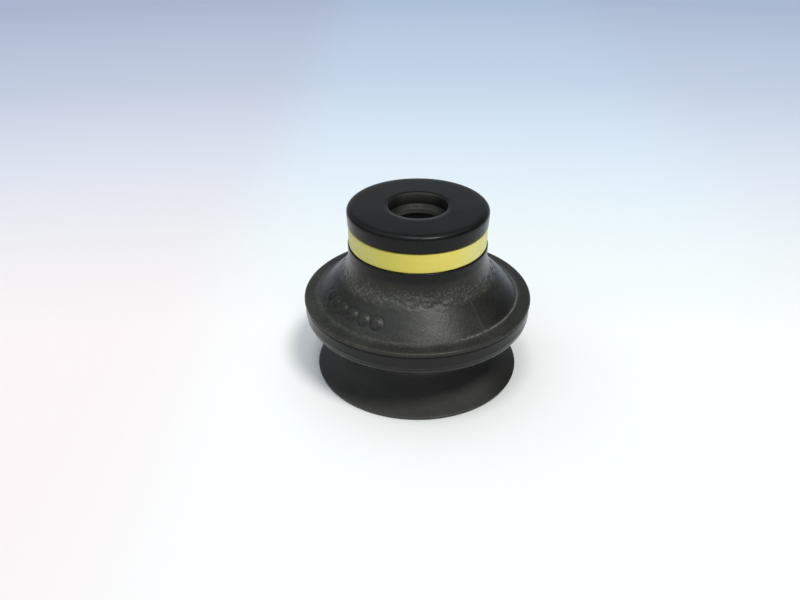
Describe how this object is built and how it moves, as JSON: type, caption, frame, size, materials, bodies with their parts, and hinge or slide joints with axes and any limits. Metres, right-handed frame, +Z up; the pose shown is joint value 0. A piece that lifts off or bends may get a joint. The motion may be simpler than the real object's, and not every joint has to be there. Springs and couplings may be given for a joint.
{
  "type": "bellows suction cup",
  "caption": "Soft black rubber bellows suction cup with a flared sealing lip, a thick neck with a socket for a vacuum fitting, and a coloured identification ring.",
  "frame": {"origin": "centre of the lip's sealing face, on the cup's axis", "axes": "+Z up the cup's axis, from the lip to the neck socket; the cup is round, so +X and +Y are free"},
  "size_m": [0.034, 0.034, 0.0267],
  "materials": {
    "black_rubber": "moulded satin black rubber, rough below the neck",
    "yellow_rubber": "satin yellow rubber"
  },
  "bodies": {
    "root": {"cup_body": "black_rubber", "colour_ring": "yellow_rubber"}
  },
  "joints": []
}
